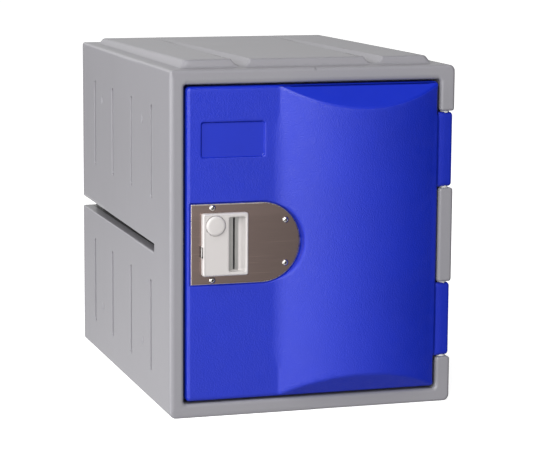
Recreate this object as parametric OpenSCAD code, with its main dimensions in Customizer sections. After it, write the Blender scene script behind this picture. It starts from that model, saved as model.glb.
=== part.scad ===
// Coin operated locker: one stackable moulded plastic compartment with an
// inset hinged door and a deposit lock.
// Frame: +X to the hinge side, +Y to the back, +Z up. The origin is on the
// floor, under the middle of the whole outline. Lengths are in millimetres.

/* [Cabinet] */
// Width of the cabinet across the front
cab_w = 385; // [375:1:395]
// Depth of the cabinet from its front plane to its back
cab_d = 520; // [500:5:560]
// Height of the front face, without the raised stacking panel
cab_h = 450; // [445:1:460]
// Thickness of the moulded walls
wall = 6; // [5:0.5:7]
// Width of the frame beside, above and below the door opening
rim = 18.5; // [17.5:0.5:20]
// Depth of the frame from front to back
rim_d = 36; // [34:1:40]
// Height of the raised stacking panel at its front edge
panel_h = 10; // [8:0.5:11]
// How much lower the stacking panel is at its back edge
panel_fall = 6; // [4:0.5:7]
// Height of the long channel in each side
channel_h = 12.5; // [11:0.5:14]
// Depth of the long channel into each side
channel_in = 20; // [16:1:24]

/* [Door] */
// Running gap round the door
gap = 3; // [2.5:0.1:3.4]
// Thickness of the flat part of the door
door_t = 28; // [27:0.5:28.5]
// Thickness of the moulded skin of the door
skin = 4.5; // [4:0.25:5]
// How far the round bulge stands out from the flat of the door
bulge_p = 28; // [24:1:31]
// Half of the bulge's width
bulge_half = 108; // [104:1:109]
// Radius of the hinge knuckles of the door
knuckle_r = 9.5; // [9:0.1:9.7]
// Radius of the steel hinge rod
rod_r = 3; // [2.8:0.1:3.2]

/* [Lock] */
// Thickness of the steel lock plate
plate_t = 2; // [1.5:0.25:2]
// How far the lock housing stands out from the plate
housing_p = 9; // [8:0.5:10]
// Radius of the turning knob
knob_r = 12.8; // [12:0.1:13]
// Radius of the knob's spindle
spindle_r = 4; // [3.6:0.1:4.2]
// Width of the coin slit
slit_w = 2.6; // [2.4:0.1:2.8]
// Module of the pinion and the rack
gear_m = 1; // [1:0.01:1.02]

/* [Fixing] */
// Radius of the side fixing holes
fix_r = 3.5; // [3:0.25:4.25]
// Spacing of the side fixing holes from front to back
fix_dy = 240; // [236:1:244]
// Spacing of the side fixing holes up and down
fix_dz = 300; // [290:1:305]

/* [Hidden] */
$fn = 48;
e = 0.02;
// depth from the front plane of the cabinet to the middle of the outline
fy = -(cab_d - bulge_p) / 2;
ox = cab_w / 2;
mid = cab_h / 2;
// door opening
ax0 = -ox + rim;
post = 20.3;
ax1 = ox - post;
az0 = rim;
az1 = cab_h - rim;
lip = 9;
lip_y = door_t + 1.5;
// hinge axis
hx = ox - 10.5;
hy = 10.5;
kn_off = 113.5;
kn_len = 99;
kn_gap = 1.5;
swing_r = 15.6;
// door outline
dx0 = ax0 + gap;
dx1 = hx - 11;
dz0 = az0 + gap;
dz1 = az1 - gap;
liner_t = 3;
// bulge
bulge_c = hx - 13 - bulge_half;
bulge_R = (bulge_half * bulge_half + bulge_p * bulge_p) / (2 * bulge_p);
bulge_drop = 27;
bulge_edge = 2;
// lock, measured from the door's left edge
lz = mid + 1.5;
lx = dx0;
plate_x0 = lx + 6;
plate_rr = 52.2;
plate_cx = lx + 100;
hs_x0 = lx + 19.5;
hs_x1 = lx + 80.3;
hs_z0 = lz - 40.5;
hs_z1 = lz + 40.5;
knob_x = lx + 36.5;
knob_z = lz + 25;
slit_x = lx + 63.5;
scoop_x0 = lx + 54.5;
scoop_z0 = lz - 35.5;
scoop_z1 = lz + 35.5;
floor_y = 3.2;
gauge_t = 1.2;
// mechanism case behind the door skin
cs_x0 = lx + 10;
cs_x1 = lx + 100;
cs_z0 = lz - 41;
cs_z1 = lz + 41;
cs_y0 = 6.5;
cs_y1 = 46;
cs_w = 2.5;
// bolt and gears
teeth = 15;
pitch_r = gear_m * teeth / 2;
rack_z = knob_z - pitch_r;
bolt_y0 = 14;
bolt_y1 = 22;
bolt_z1 = rack_z - 2.5;
bolt_z0 = bolt_z1 - 16.5;
bolt_zc = (bolt_z0 + bolt_z1) / 2;
throw = pitch_r * PI / 2;
// coin lever
lev_y = 36;
lev_z = lz + 28.5;
// places of repeated parts
fix_places = [for (y = [-1, 1], z = [-1, 1]) [cab_d / 2 + 9 + y * fix_dy / 2, mid - 1 + z * fix_dz / 2]];
plate_screw_places = [[lx + 34.3, lz + 46.8], [lx + 34.3, lz - 46.8], [lx + 132, lz + 28], [lx + 132, lz - 28]];
liner_screw_places = [for (x = [dx0 + 21, -10, 138], z = [dz0 + 19, dz1 - 19]) [x, z]];
case_screw_places = [[lx + 26, lz - 33], [lx + 26, lz + 34], [lx + 72.5, lz - 8], [lx + 72.5, lz + 34]];
boss_y = 14;
cup_screw_places = [[slit_x - 15.5, lz - 28], [slit_x + 15.5, lz - 28]];
strike_z = [bolt_zc - 24, bolt_zc + 24];
bush_places = [for (s = [-1, 1], t = [-1, 1]) [mid + s * kn_off + t * kn_len / 2, t]];

// ---------- helpers ----------

// moves geometry drawn with the front plane at y = 0 into the part's frame
module place() translate([0, fy, 0]) children();

// box given by its two corners
module bx(a, b) translate(a) cube(b - a);

// cylinder along Y from y0 to y1
module ycyl(x, z, r, y0, y1) translate([x, y0, z]) rotate([-90, 0, 0]) cylinder(r = r, h = y1 - y0);

// cylinder along X from x0 to x1
module xcyl(y, z, r, x0, x1) translate([x0, y, z]) rotate([0, 90, 0]) cylinder(r = r, h = x1 - x0);

// outline in (y, z) drawn along X from x0 to x1
module xprism(pts, x0, x1) translate([x0, 0, 0]) rotate([90, 0, 90]) linear_extrude(x1 - x0) polygon(pts);

// outline in (x, z) drawn along Y from y0 to y1
module yprism(pts, y0, y1) translate([0, y1, 0]) rotate([90, 0, 0]) linear_extrude(y1 - y0) polygon(pts);

// upright groove with straight sides and round ends in the side s
module flute(s, y, z0, z1) {
    r = 4.4;
    xprism(concat([for (a = [0:15:180]) [y + r * cos(a), z1 - r + r * sin(a)]],
            [for (a = [180:15:360]) [y + r * cos(a), z0 + r + r * sin(a)]]),
        s < 0 ? -ox - 1 : ox - 3, s < 0 ? -ox + 3 : ox + 1);
}

// plate outline with one round end, grown by g
module lock_outline(g, y0, y1) {
    bx([plate_x0 - g, y0, lz - plate_rr - g], [plate_cx, y1, lz + plate_rr + g]);
    ycyl(plate_cx, lz, plate_rr + g, y0, y1);
}

// dome-head screw along +Y with its head's seat at y
module dome_screw(x, z, y, r, l, hr, hh) {
    ycyl(x, z, r, y - e, y + l);
    difference() {
        intersection() {
            translate([x, y + (hr * hr - hh * hh) / (2 * hh), z]) sphere(r = (hr * hr + hh * hh) / (2 * hh), $fn = 64);
            ycyl(x, z, hr + 1, y - hh - 1, y);
        }
        translate([x, y - hh - 1, z]) rotate([-90, 0, 0]) cylinder(r = hr * 0.42, h = hh * 0.6 + 1, $fn = 6);
    }
}

// pan-head screw along -Y with its head's seat at y
module pan_screw(x, z, y, r, l, hr, hh) {
    difference() {
        union() {
            ycyl(x, z, r, y - l, y + e);
            ycyl(x, z, hr, y, y + hh);
        }
        for (a = [0, 90]) translate([x, y + hh, z]) rotate([0, a, 0]) cube([hr * 1.2, 1.6, 0.7], center = true);
    }
}

// half of the bulge's outline as a prism cut to its sloped ends
module bulge_body(inset) {
    d = inset * 1.5;
    intersection() {
        translate([bulge_c, bulge_R - bulge_p, dz0 - 5]) cylinder(r = bulge_R - inset, h = dz1 - dz0 + 10, $fn = 240);
        xprism([[skin + 1, dz0 + bulge_edge + d - (skin + 1) * 0.3], [0, dz0 + bulge_edge + d],
            [-bulge_p - 4, dz0 + bulge_edge + d + bulge_drop * (bulge_p + 4) / bulge_p],
            [-bulge_p - 4, dz1 - bulge_edge - d - bulge_drop * (bulge_p + 4) / bulge_p],
            [0, dz1 - bulge_edge - d], [skin + 1, dz1 - bulge_edge - d + (skin + 1) * 0.3]],
            bulge_c - bulge_half - 4, bulge_c + bulge_half + 4);
    }
}

// ---------- cabinet ----------

// raised stacking panel with sloped edges, its top falling to the back
module stack_panel() {
    intersection() {
        yprism([[-ox + 22, cab_h - 2], [-ox + 22, cab_h], [-ox + 28, cab_h + panel_h + e],
            [ox - 28, cab_h + panel_h + e], [ox - 22, cab_h], [ox - 22, cab_h - 2]], 10, cab_d - 10);
        xprism([[29, cab_h - 2], [29, cab_h], [36, cab_h + panel_h],
            [cab_d - 27, cab_h + panel_h - panel_fall], [cab_d - 24, cab_h], [cab_d - 24, cab_h - 2]], -ox + 5, ox - 5);
    }
}

// one-piece moulded cabinet with its front frame and hinge post
module cabinet_shell() color([0.62, 0.62, 0.64]) place() {
    ch_z = mid - 14;
    in_z0 = panel_h + 1 + wall;
    difference() {
        union() {
            bx([-ox, 0, 0], [ox, cab_d, cab_h]);
            stack_panel();
        }
        // inside of the compartment, stepped in round the side channels
        difference() {
            bx([-ox + wall, rim_d, in_z0], [ox - wall, cab_d - wall, cab_h - wall]);
            for (s = [-1, 1])
                bx([s < 0 ? -ox : ox - channel_in - wall, 84 - wall, ch_z - channel_h / 2 - wall],
                   [s < 0 ? -ox + channel_in + wall : ox, cab_d, ch_z + channel_h / 2 + wall]);
        }
        // hollow under the raised panel, between its grooves
        for (x = [[-ox + 34, -112], [-68, 68], [112, ox - 34]])
            bx([x[0], 44, cab_h - wall - e], [x[1], cab_d - 44, cab_h + panel_h - panel_fall - wall + 1.5]);
        // door opening with a stop lip behind the door
        bx([ax0, -1, az0], [ax1, lip_y, az1]);
        bx([ax0 + lip, lip_y - e, az0 + lip], [ax1, rim_d + e, az1 - lip]);
        // side channels, a little taller towards the back and open there
        for (s = [-1, 1])
            xprism([[84, ch_z - channel_h / 2], [84, ch_z + channel_h / 2 - 1.9],
                [cab_d + 1, ch_z + channel_h / 2 + 0.5], [cab_d + 1, ch_z - channel_h / 2 - 1.35]],
                s < 0 ? -ox - 1 : ox - channel_in, s < 0 ? -ox + channel_in : ox + 1);
        // upright flutes in both sides
        for (s = [-1, 1], i = [0:3]) {
            flute(s, 99 + i * 112, mid + 50, mid + 172);
            flute(s, 103 + i * 112, mid - 182, mid - 60);
        }
        // half-round grooves along the raised panel
        for (s = [-1, 1]) translate([s * 90, 36, cab_h + 0.6 + 13])
            rotate([-90 + atan(3.9 / 457), 0, 0]) translate([0, 0, -60]) cylinder(r = 13, h = cab_d + 100);
        // recess underneath that takes the panel of the cabinet below
        bx([-ox + 20, 22, -1], [ox - 20, cab_d - 22, panel_h + 1]);
        // side fixing holes
        for (p = fix_places) {
            xcyl(p[0], p[1], fix_r, -ox - 1, -ox + wall + 1);
            xcyl(p[0], p[1], fix_r, ox - wall - 1, ox + 1);
        }
        // gaps in the hinge post for the knuckles of the door
        for (s = [-1, 1])
            bx([ax1 - 1, -1, mid + s * kn_off - kn_len / 2 - kn_gap], [ox + 1, 22, mid + s * kn_off + kn_len / 2 + kn_gap]);
        // bore for the hinge rod, from below
        translate([hx, hy, -1]) cylinder(r = rod_r + 0.05, h = cab_h - 8);
        translate([hx, hy, -1]) cylinder(r = 5, h = 9);
        // seat, pocket and screw holes for the strike plate
        bx([ax0 - 1.5, 8, bolt_zc - 31], [ax0 + 1, 28, bolt_zc + 31]);
        bx([ax0 - 15, bolt_y0 - 1.5, bolt_z0 - 1.5], [ax0, bolt_y1 + 1.5, bolt_z1 + 1.5]);
        for (z = strike_z) xcyl(18, z, 1.6, ax0 - 12, ax0);
    }
}

// steel rod that carries the door
module hinge_rod() color([0.75, 0.75, 0.76]) place()
    translate([hx, hy, 8.4]) cylinder(r = rod_r, h = cab_h - 9 - 8.8);

// plug that keeps the rod in its bore
module hinge_rod_plug() color([0.5, 0.5, 0.52]) place()
    translate([hx, hy, 0.4]) cylinder(r = 4.98, h = 7.6);

// steel plate round the bolt pocket
module strike_plate() color([0.72, 0.72, 0.72]) place()
    difference() {
        bx([ax0 - 1.5, 8.2, bolt_zc - 30.8], [ax0, 27.8, bolt_zc + 30.8]);
        bx([ax0 - 3, bolt_y0 - 1, bolt_z0 - 1], [ax0 + 1, bolt_y1 + 1, bolt_z1 + 1]);
        for (z = strike_z) {
            xcyl(18, z, 1.8, ax0 - 3, ax0 + 1);
            translate([ax0 - 1.2, 18, z]) rotate([0, 90, 0]) cylinder(r1 = 1.8, r2 = 3.1, h = 1.21);
        }
    }

// countersunk screws of the strike plate
module strike_screws() color([0.8, 0.8, 0.8]) place()
    for (z = strike_z) difference() {
        union() {
            xcyl(18, z, 1.55, ax0 - 11, ax0 - 0.2);
            translate([ax0 - 1.2, 18, z]) rotate([0, 90, 0]) cylinder(r1 = 1.55, r2 = 2.8, h = 1.15);
        }
        for (a = [0, 90]) translate([ax0, 18, z]) rotate([a, 0, 0]) cube([0.8, 3.2, 0.6], center = true);
    }

// ---------- door ----------

// moulded outer shell of the door, with its bulge and knuckles
module door_shell() color([0.16, 0.19, 0.72]) place() {
    difference() {
        union() {
            difference() {
                union() {
                    bx([dx0, 0, dz0], [dx1, door_t, dz1]);
                    bulge_body(0);
                }
                // inside of the door, less the bosses and the lock seat
                difference() {
                    union() {
                        bx([dx0 + skin, skin, dz0 + skin], [hx - swing_r - skin, door_t + 1, dz1 - skin]);
                        bulge_body(skin);
                    }
                    lock_outline(1.2 + skin, -bulge_p - 5, 6.5);
                    for (p = liner_screw_places) ycyl(p[0], p[1], 5, -bulge_p - 5, door_t - liner_t);
                    for (p = plate_screw_places) ycyl(p[0], p[1], 4, 0, 15);
                }
                // clearance round the hinge post
                translate([hx, hy, 0]) cylinder(r = swing_r, h = cab_h, $fn = 96);
            }
            // knuckles, with bevelled ends, and the webs that join them to the door
            for (s = [-1, 1]) {
                translate([hx, hy, mid + s * kn_off]) rotate_extrude()
                    polygon([[0, -kn_len / 2], [knuckle_r - 3.5, -kn_len / 2], [knuckle_r, -kn_len / 2 + 4],
                        [knuckle_r, kn_len / 2 - 4], [knuckle_r - 3.5, kn_len / 2], [0, kn_len / 2]]);
                // fuller front corner
                translate([hx + 3, hy - 3, mid + s * kn_off]) rotate_extrude()
                    polygon([[0, -kn_len / 2], [knuckle_r - 6, -kn_len / 2], [knuckle_r - 3, -kn_len / 2 + 4],
                        [knuckle_r - 3, kn_len / 2 - 4], [knuckle_r - 6, kn_len / 2], [0, kn_len / 2]]);
                bx([hx - swing_r - skin + 0.5, 1.2, mid + s * kn_off - kn_len / 2],
                   [hx + 3, hy + 9, mid + s * kn_off + kn_len / 2]);
            }
        }
        // seat of the lock plate, cut into the bulge
        lock_outline(1.2, -bulge_p - 5, plate_t);
        // window for the lock housing
        bx([hs_x0 + 2.2, 0, hs_z0 + 2.2], [hs_x1 - 2.2, 7, hs_z1 - 2.2]);
        // shallow recess for a number card
        bx([dx0 + 20, -1, mid + 113], [dx0 + 103.5, 2.4, mid + 158]);
        // slot for the bolt
        bx([dx0 - 1, bolt_y0 - 0.6, bolt_z0 - 0.6], [dx0 + skin + 1, bolt_y1 + 0.6, bolt_z1 + 0.6]);
        // screw holes
        for (p = plate_screw_places) ycyl(p[0], p[1], 1.6, 0, 13);
        for (p = liner_screw_places) ycyl(p[0], p[1], 1.6, 11, door_t);
        // front faces of the knuckles, turned a little to the outside
        for (s = [-1, 1]) translate([0, 0, mid + s * kn_off - kn_len / 2 - 1]) linear_extrude(kn_len + 2)
            polygon([[hx - 9, -1], [hx + 14, -1], [hx + 14, 6.34], [hx - 9, 0.6]]);
        // bores of the knuckles
        for (s = [-1, 1]) translate([hx, hy, mid + s * kn_off - kn_len / 2 - 1]) cylinder(r = rod_r + 0.5, h = kn_len + 2);
        for (b = bush_places) translate([hx, hy, b[0] - 12]) cylinder(r = 4.6, h = 24);
    }
}

// inner panel that closes the door
module door_liner() color([0.2, 0.24, 0.7]) place()
    difference() {
        bx([dx0 + skin + 0.4, door_t - liner_t, dz0 + skin + 0.4], [hx - swing_r - skin - 0.4, door_t, dz1 - skin - 0.4]);
        bx([cs_x0 - 0.6, 0, cs_z0 - 0.6], [cs_x1 + 0.6, door_t + 1, cs_z1 + 0.6]);
        for (p = liner_screw_places) ycyl(p[0], p[1], 1.8, 0, door_t + 1);
    }

// screws that hold the inner panel
module liner_screws() color([0.78, 0.78, 0.78]) place()
    for (p = liner_screw_places) pan_screw(p[0], p[1], door_t, 1.55, 14, 3.5, 1.8);

// plain bushes with flanges at the ends of both knuckles
module hinge_bushes() color([0.9, 0.9, 0.88]) place()
    for (b = bush_places) translate([hx, hy, b[0]]) rotate([b[1] > 0 ? 180 : 0, 0, 0]) difference() {
        union() {
            cylinder(r = 4.58, h = 11.5);
            translate([0, 0, -1.2]) cylinder(r = 5.8, h = 1.2);
        }
        translate([0, 0, -3]) cylinder(r = rod_r + 0.06, h = 20);
    }

// polished plate round the lock
module lock_plate() color([0.7, 0.66, 0.6]) place()
    difference() {
        lock_outline(0, 0, plate_t);
        bx([hs_x0 + 2.4, -1, hs_z0 + 2.4], [hs_x1 - 2.4, plate_t + 1, hs_z1 - 2.4]);
        for (p = plate_screw_places) ycyl(p[0], p[1], 1.8, -1, plate_t + 1);
    }

// dome-head screws of the lock plate
module plate_screws() color([0.85, 0.84, 0.82]) place()
    for (p = plate_screw_places) dome_screw(p[0], p[1], 0, 1.55, 11, 4.3, 2.9);

// front housing of the lock, with the finger scoop
module lock_housing() color([0.83, 0.82, 0.8]) place() {
    arc = [for (a = [0:9:90]) [slit_x + 6 + 6.8 * sin(a), -housing_p - 0.1 + (housing_p + 0.1 + floor_y - gauge_t) * cos(a)]];
    difference() {
        union() {
            bx([hs_x0, -housing_p, hs_z0], [hs_x1, 0, hs_z1]);
            bx([hs_x0 + 2.7, -e, hs_z0 + 2.7], [hs_x1 - 2.7, cs_y0, hs_z1 - 2.7]);
            // bosses that reach into the case
            for (p = case_screw_places) ycyl(p[0], p[1], 3.2, cs_y0 - 1, boss_y);
            // lip round the side slit
            bx([hs_x0 - 0.6, -8, lz - 18.2], [hs_x0 + 1, -0.8, lz - 1.3]);
        }
        // finger scoop: steep on the left, curved up on the right
        translate([0, 0, scoop_z0]) linear_extrude(scoop_z1 - scoop_z0)
            polygon(concat([[scoop_x0, -housing_p - 1], [scoop_x0, floor_y], [slit_x + 5.65, floor_y],
                [slit_x + 5.65, floor_y - gauge_t]], arc, [[slit_x + 12.8, -housing_p - 1]]));
        // passage of the coin
        bx([slit_x - 2, 0, scoop_z0 + 1.5], [slit_x + 2, cs_y0 + 1, scoop_z1 - 1.5]);
        // seat and bore of the knob
        ycyl(knob_x, knob_z, knob_r + 0.5, -housing_p - 1, -housing_p + 1);
        ycyl(knob_x, knob_z, spindle_r + 0.06, -housing_p, cs_y0 + 1);
        // side slit
        bx([hs_x0 - 2, -7.4, lz - 17], [hs_x0 + 5, -1.4, lz - 2.5]);
        // screw holes from behind
        for (p = case_screw_places) ycyl(p[0], p[1], 1.6, floor_y + 0.6, boss_y + 1);
    }
}

// steel plate on the floor of the scoop that sets which coin fits
module coin_gauge_plate() color([0.62, 0.62, 0.61]) place()
    difference() {
        bx([scoop_x0 + 0.2, floor_y - gauge_t, scoop_z0 + 0.2], [slit_x + 5.6, floor_y, scoop_z1 - 0.2]);
        bx([slit_x - slit_w / 2, 0, scoop_z0 + 2], [slit_x + slit_w / 2, 9, scoop_z1 - 2]);
    }

// case that holds the bolt and the coin mechanism
module lock_case() color([0.25, 0.26, 0.28]) place()
    difference() {
        union() {
            difference() {
                bx([cs_x0, cs_y0, cs_z0], [cs_x1, cs_y1, cs_z1]);
                bx([cs_x0 + cs_w, cs_y0 + cs_w, cs_z0 + cs_w], [cs_x1 - cs_w, cs_y1 + 1, cs_z1 - cs_w]);
            }
            // screw posts
            for (p = case_screw_places) ycyl(p[0], p[1], 5, cs_y0 + 1, cs_y1);
            // guides below and above the bolt
            bx([cs_x0 + 1, bolt_y0 - 4, bolt_z0 - 4], [cs_x0 + 47, bolt_y1 + 1.5, bolt_z0 - 0.3]);
            bx([cs_x0 + 1, bolt_y0 - 4, bolt_z1 + 0.3], [cs_x0 + 6.5, bolt_y1 + 1.5, bolt_z1 + 4.5]);
            bx([cs_x0 + 1, cs_y0 + 1, bolt_z0 - 4], [cs_x0 + 47, bolt_y0 - 0.4, bolt_z0 + 4]);
        }
        // slot for the bolt, bore for the spindle, passage of the coin
        bx([cs_x0 - 1, bolt_y0 - 0.4, bolt_z0 - 0.3], [cs_x0 + cs_w + 1, bolt_y1 + 0.4, bolt_z1 + 0.3]);
        ycyl(knob_x, knob_z, spindle_r + 0.08, cs_y0 - 1, cs_y0 + cs_w + 1);
        bx([slit_x - 1.8, cs_y0 - 1, scoop_z0 + 1.5], [slit_x + 1.8, cs_y0 + cs_w + 1, scoop_z1 - 1.5]);
        for (p = case_screw_places) ycyl(p[0], p[1], 1.75, 0, cs_y1 + 1);
        for (p = case_screw_places) ycyl(p[0], p[1], 3.4, 0, boss_y + 0.2);
    }

// rear cover of the case, inside the locker
module lock_case_cover() color([0.28, 0.29, 0.31]) place()
    difference() {
        bx([cs_x0, cs_y1, cs_z0], [cs_x1, cs_y1 + 2.5, cs_z1]);
        bx([slit_x - 2.5, cs_y1 - 1, lz - 37], [slit_x + 2.5, cs_y1 + 4, lz - 10]);
        for (p = case_screw_places) ycyl(p[0], p[1], 1.75, cs_y1 - 1, cs_y1 + 4);
        for (p = cup_screw_places) ycyl(p[0], p[1], 1.3, cs_y1 - 1, cs_y1 + 4);
    }

// long screws through cover and case into the housing
module case_screws() color([0.7, 0.7, 0.7]) place()
    for (p = case_screw_places) pan_screw(p[0], p[1], cs_y1 + 2.5, 1.55, cs_y1 + 2.5 - floor_y - 1.2, 3.2, 1.8);

// channel that guides the coin from the slit to the cup
module coin_chute() color([0.55, 0.55, 0.57]) place()
    difference() {
        bx([slit_x - 3.5, cs_y0 + cs_w, cs_z0 + cs_w + 0.3], [slit_x + 3.5, cs_y1, cs_z1 - cs_w - 0.3]);
        xprism([[0, lz - 20], [cs_y1 + 1, lz - 37], [cs_y1 + 1, lz - 10], [42, lz - 10], [42, lz + 36], [0, lz + 36]],
            slit_x - 1.5, slit_x + 1.5);
        ycyl(slit_x, lz + 3, 2.6, 34, 44.5);
        xcyl(lev_y, lev_z, 1.52, slit_x - 5, slit_x + 5);
    }

// pin of the coin lever
module lever_pin() color([0.75, 0.75, 0.75]) place()
    xcyl(lev_y, lev_z, 1.5, slit_x - 4, slit_x + 4);

// coil spring that pushes the coin lever back
module lever_spring() color([0.6, 0.6, 0.6]) place() {
    turns = 6;
    steps = 16;
    sides = 8;
    rc = 1.8;
    rw = 0.3;
    l0 = 36.2;
    l1 = 44.1;
    n = turns * steps;
    pts = [for (i = [0:n], k = [0:sides - 1])
        let (a = 360 * i / steps, b = 360 * k / sides, r = rc + rw * cos(b))
        [slit_x + r * cos(a), l0 + (l1 - l0) * i / n + rw * sin(b), lz + 3 + r * sin(a)]];
    walls = [for (i = [0:n - 1], k = [0:sides - 1])
        let (k2 = (k + 1) % sides)
        [i * sides + k, i * sides + k2, (i + 1) * sides + k2, (i + 1) * sides + k]];
    polyhedron(points = pts, faces = concat([[for (k = [sides - 1:-1:0]) k]], walls,
        [[for (k = [0:sides - 1]) n * sides + k]]));
}

// cup that catches the returned coin, inside the locker
module coin_cup() color([0.83, 0.82, 0.8]) place() {
    y0 = cs_y1 + 2.5;
    difference() {
        union() {
            bx([slit_x - 11.5, y0, lz - 41], [slit_x + 11.5, y0 + 20, lz - 15]);
            bx([slit_x - 19, y0, lz - 33], [slit_x + 19, y0 + 2, lz - 23]);
        }
        bx([slit_x - 9.5, y0 - 1, lz - 39], [slit_x + 9.5, y0 + 18, lz - 10]);
        // cut away at the front edge, to reach the coin
        bx([slit_x - 7, y0 + 10, lz - 26], [slit_x + 7, y0 + 22, lz - 10]);
        for (p = cup_screw_places) ycyl(p[0], p[1], 1.6, y0 - 1, y0 + 4);
    }
}

// screws of the coin cup
module cup_screws() color([0.75, 0.75, 0.75]) place()
    for (p = cup_screw_places) pan_screw(p[0], p[1], cs_y1 + 4.5, 1.25, 4.2, 2.5, 1.4);

// ---------- knob and bolt ----------

// round knob on the front
module turn_knob() color([0.84, 0.83, 0.81]) place()
    difference() {
        ycyl(knob_x, knob_z, knob_r, -housing_p - 3.2, -housing_p + 0.6);
        ycyl(knob_x, knob_z, spindle_r + 0.01, -housing_p - 1.8, -housing_p + 2);
    }

// spindle from the knob to the pinion
module knob_spindle() color([0.72, 0.72, 0.73]) place()
    difference() {
        ycyl(knob_x, knob_z, spindle_r, -housing_p - 1.7, 26);
        difference() {
            ycyl(knob_x, knob_z, spindle_r + 1, 23, 24);
            ycyl(knob_x, knob_z, spindle_r - 0.8, 22, 25);
        }
    }

// one tooth flank point of the pinion, at radius r
function inv_a(r) = let (b = pitch_r * cos(20), c = acos(min(1, b / max(r, b)))) tan(c) * 180 / PI - c;
function flank(r, half, s, a0) = [r * cos(a0 + s * (half + inv_a(pitch_r) - inv_a(r))), r * sin(a0 + s * (half + inv_a(pitch_r) - inv_a(r)))];

// pinion on the spindle
module drive_pinion() color([0.8, 0.66, 0.3]) place() {
    half = 90 / teeth - 0.9;
    ro = pitch_r + 0.8 * gear_m;
    ri = pitch_r - 1.25 * gear_m;
    rs = [7.05 * gear_m, 7.3 * gear_m, 7.6 * gear_m, 7.95 * gear_m, ro];
    pts = [for (i = [0:teeth - 1]) let (a0 = 270 + 180 / teeth + i * 360 / teeth)
        each concat([[ri * cos(a0 - half - 1.4), ri * sin(a0 - half - 1.4)]], [for (r = rs) flank(r, half, -1, a0)],
            [for (k = [len(rs) - 1:-1:0]) flank(rs[k], half, 1, a0)], [[ri * cos(a0 + half + 1.4), ri * sin(a0 + half + 1.4)]])];
    difference() {
        translate([knob_x, 21.6, knob_z]) rotate([90, 0, 0]) linear_extrude(7.2) polygon(pts);
        ycyl(knob_x, knob_z, spindle_r + 0.01, 10, 30);
    }
}

// snap ring that keeps the pinion on the spindle
module spindle_clip() color([0.3, 0.3, 0.3]) place()
    difference() {
        ycyl(knob_x, knob_z, 6.4, 23.1, 23.9);
        ycyl(knob_x, knob_z, spindle_r - 0.78, 22, 25);
        bx([knob_x - 2, 22, knob_z], [knob_x + 2, 25, knob_z + 8]);
    }

// sliding bolt
module deadbolt() color([0.72, 0.72, 0.74]) place()
    difference() {
        bx([dx0 + 0.5, bolt_y0, bolt_z0], [slit_x - 5, bolt_y1, bolt_z1]);
        for (x = [knob_x - 4, knob_x + 16]) translate([x, 18, bolt_z1 - 6]) cylinder(r = 1.02, h = 8);
    }

// toothed strip on top of the bolt
module bolt_rack() color([0.62, 0.62, 0.64]) place() {
    p = gear_m * PI;
    th = p / 2 - 0.2;
    ad = 0.8 * gear_m;
    de = 1.25 * gear_m;
    t20 = tan(20);
    difference() {
        union() {
            bx([knob_x - 7.5, bolt_y0 + 0.4, bolt_z1], [slit_x - 6, bolt_y1 - 0.4, rack_z - de]);
            for (i = [-2:6]) translate([knob_x + i * p, 0, rack_z])
                yprism([[-th / 2 - de * t20, -de - 0.1], [-th / 2 + ad * t20, ad], [th / 2 - ad * t20, ad], [th / 2 + de * t20, -de - 0.1]],
                    bolt_y0 + 0.4, bolt_y1 - 0.4);
        }
        for (x = [knob_x - 4, knob_x + 16]) translate([x, 18, bolt_z1 - 6]) cylinder(r = 1.02, h = 12);
    }
}

// rivets that hold the rack on the bolt
module rack_rivets() color([0.66, 0.64, 0.6]) place()
    for (x = [knob_x - 4, knob_x + 16]) translate([x, 18, bolt_z1 - 5.9]) cylinder(r = 1, h = 5.9 + 2.5 - 1.25 * gear_m);

// ---------- coin lever ----------

// lever that a coin swings back as it goes in
module coin_lever() color([0.76, 0.62, 0.3]) place()
    difference() {
        union() {
            xcyl(lev_y, lev_z, 3.4, slit_x - 1, slit_x + 1);
            xprism([[lev_y - 3, lev_z], [lev_y + 3, lev_z], [lev_y - 1, lz + 3], [lev_y - 5, lz - 6], [lev_y - 9, lz - 5], [lev_y - 7, lz + 3]],
                slit_x - 1, slit_x + 1);
        }
        xcyl(lev_y, lev_z, 1.56, slit_x - 3, slit_x + 3);
    }

cabinet_shell();
hinge_rod();
hinge_rod_plug();
strike_plate();
strike_screws();
door_shell();
door_liner();
liner_screws();
hinge_bushes();
lock_plate();
plate_screws();
lock_housing();
coin_gauge_plate();
lock_case();
lock_case_cover();
case_screws();
coin_chute();
lever_pin();
lever_spring();
coin_cup();
cup_screws();
turn_knob();
knob_spindle();
drive_pinion();
spindle_clip();
deadbolt();
bolt_rack();
rack_rivets();
coin_lever();
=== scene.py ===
import math

import bpy
import bmesh
import numpy as np
from mathutils import Matrix, Vector


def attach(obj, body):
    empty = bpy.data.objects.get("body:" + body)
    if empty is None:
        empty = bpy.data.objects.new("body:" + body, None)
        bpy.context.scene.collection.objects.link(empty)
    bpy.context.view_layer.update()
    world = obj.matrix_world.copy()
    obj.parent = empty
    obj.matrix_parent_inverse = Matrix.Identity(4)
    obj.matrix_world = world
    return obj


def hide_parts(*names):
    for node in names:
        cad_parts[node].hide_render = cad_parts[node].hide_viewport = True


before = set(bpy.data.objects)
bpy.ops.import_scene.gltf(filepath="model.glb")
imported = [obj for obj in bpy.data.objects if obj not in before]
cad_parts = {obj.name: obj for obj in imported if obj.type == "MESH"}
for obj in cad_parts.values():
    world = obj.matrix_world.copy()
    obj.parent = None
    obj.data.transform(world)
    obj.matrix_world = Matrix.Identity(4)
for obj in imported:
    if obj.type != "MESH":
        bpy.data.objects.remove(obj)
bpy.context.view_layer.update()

# ------------------------------------------------------------------ sizes
# Millimetres, with x to the hinge side, d the depth behind the front plane
# of the cabinet, and z up. FY is where that plane lies in the part's frame.
W, D, H = 385.0, 520.0, 450.0
OX, MID = W / 2, H / 2
BP, BHALF = 28.0, 108.0
FY = -(D - BP) / 2
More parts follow.
